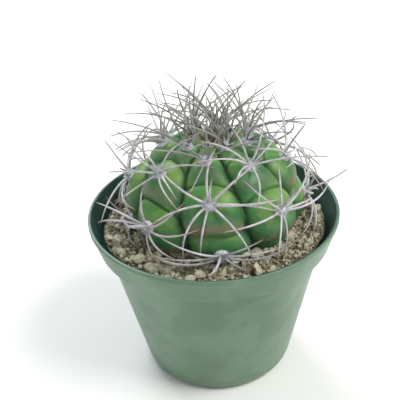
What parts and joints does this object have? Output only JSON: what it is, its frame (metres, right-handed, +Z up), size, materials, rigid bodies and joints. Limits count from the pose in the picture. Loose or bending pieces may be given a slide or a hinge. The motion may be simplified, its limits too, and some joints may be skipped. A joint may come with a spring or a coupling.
{
  "type": "potted globular cactus",
  "caption": "Small ribbed globular cactus with chinned tubercles and long curved spines, in gritty mix in a round tapered nursery pot with a collar.",
  "frame": {"origin": "middle of the pot's flat underside, where it stands on a table", "axes": "+Z up along the pot's axis, -Y the front of the picture, +X to the viewer's right"},
  "size_m": [0.1067, 0.1072, 0.1263],
  "materials": {
    "pot": "dull sage green moulded plastic",
    "soil": "beige pumice grains in dark gritty potting mix",
    "stem": "waxy green living skin",
    "spines": "pale grey horny spines and wool",
    "young_spines": "dark brown young spines"
  },
  "bodies": {
    "root": {"pot": "pot", "soil": "soil", "stem": "stem", "areole_01": "spines", "areole_02": "spines", "areole_03": "spines", "areole_04": "spines", "areole_05": "spines", "areole_06": "spines", "areole_07": "spines", "areole_08": "spines", "areole_09": "spines", "areole_10": "spines", "areole_11": "spines", "areole_12": "spines", "areole_13": "spines", "areole_14": "spines", "areole_15": "spines", "areole_16": "spines", "areole_17": "spines", "areole_18": "spines", "areole_19": "spines", "areole_20": "spines", "areole_21": "spines", "areole_22": "spines", "areole_23": "spines", "areole_24": "spines", "areole_25": "spines", "areole_26": "spines", "areole_27": "spines", "areole_28": "spines", "crown_tuft": "young_spines"}
  },
  "joints": []
}
